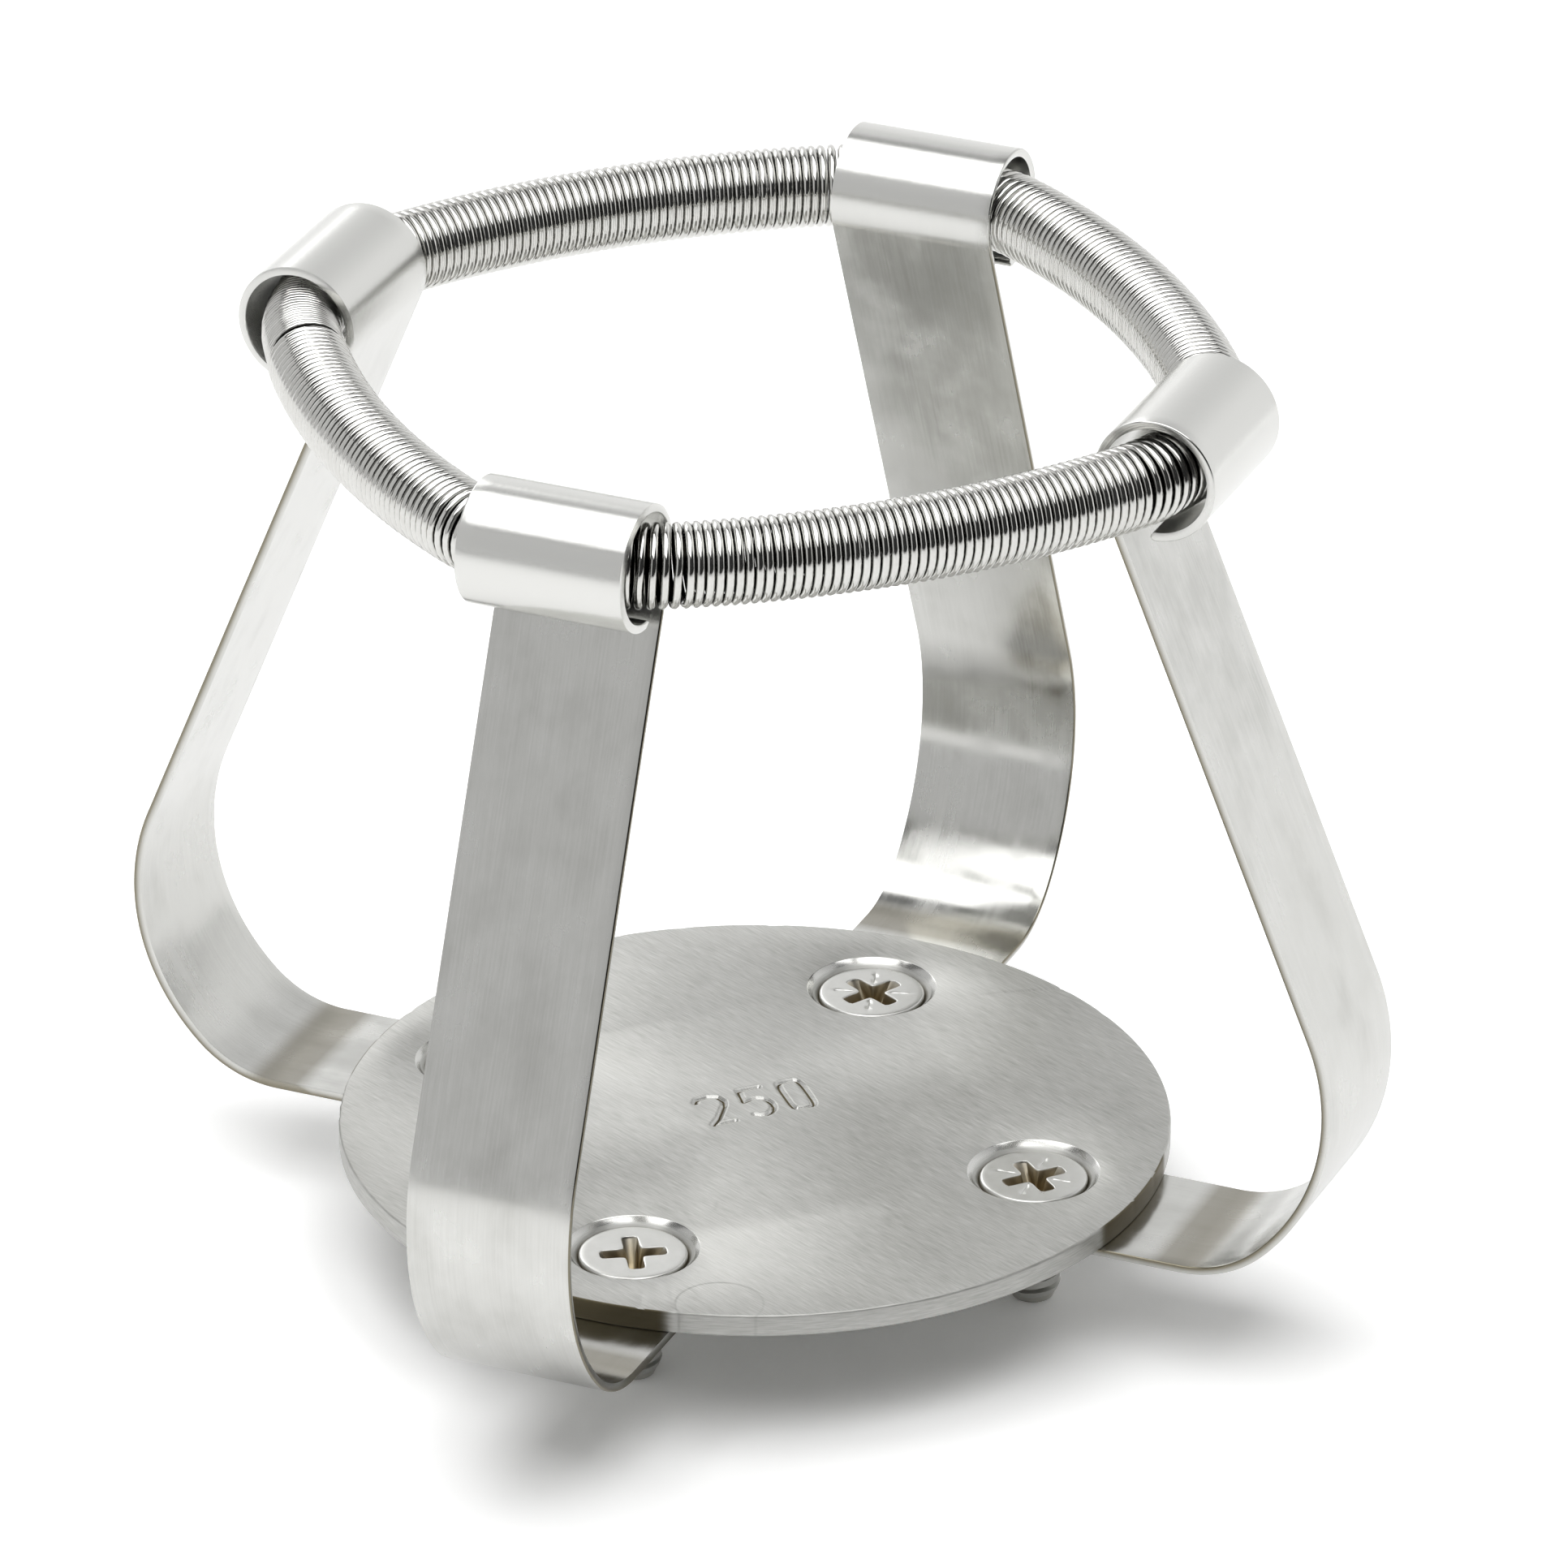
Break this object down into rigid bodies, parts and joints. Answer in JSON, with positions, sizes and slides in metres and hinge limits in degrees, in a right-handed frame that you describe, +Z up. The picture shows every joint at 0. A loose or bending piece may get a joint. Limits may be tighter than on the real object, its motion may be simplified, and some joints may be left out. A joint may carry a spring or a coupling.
{
  "type": "shaker flask clamp",
  "caption": "Spring-steel clamp that holds a conical flask on a laboratory shaker: bent straps on a round plate, closed by a coil spring round the flask's shoulder.",
  "frame": {"origin": "centre of the screw circle, in the plane of the straps' undersides, which bear on the shaker's platform", "axes": "+Z up along the plate's axis, away from the platform; +X along arm_right and +Y along arm_back"},
  "size_m": [0.0898, 0.0898, 0.0711],
  "materials": {
    "plate_steel": "rolled stainless sheet, fine straight grain",
    "strap_steel": "bright rolled spring-steel strip",
    "spring_wire": "bright drawn spring wire",
    "screw_steel": "plain stainless screw"
  },
  "bodies": {
    "root": {"base_plate": "plate_steel", "arm_right": "strap_steel", "arm_back": "strap_steel", "arm_left": "strap_steel", "arm_front": "strap_steel", "spring_ring": "spring_wire", "screw_right": "screw_steel", "screw_back": "screw_steel", "screw_left": "screw_steel", "screw_front": "screw_steel"}
  },
  "joints": []
}
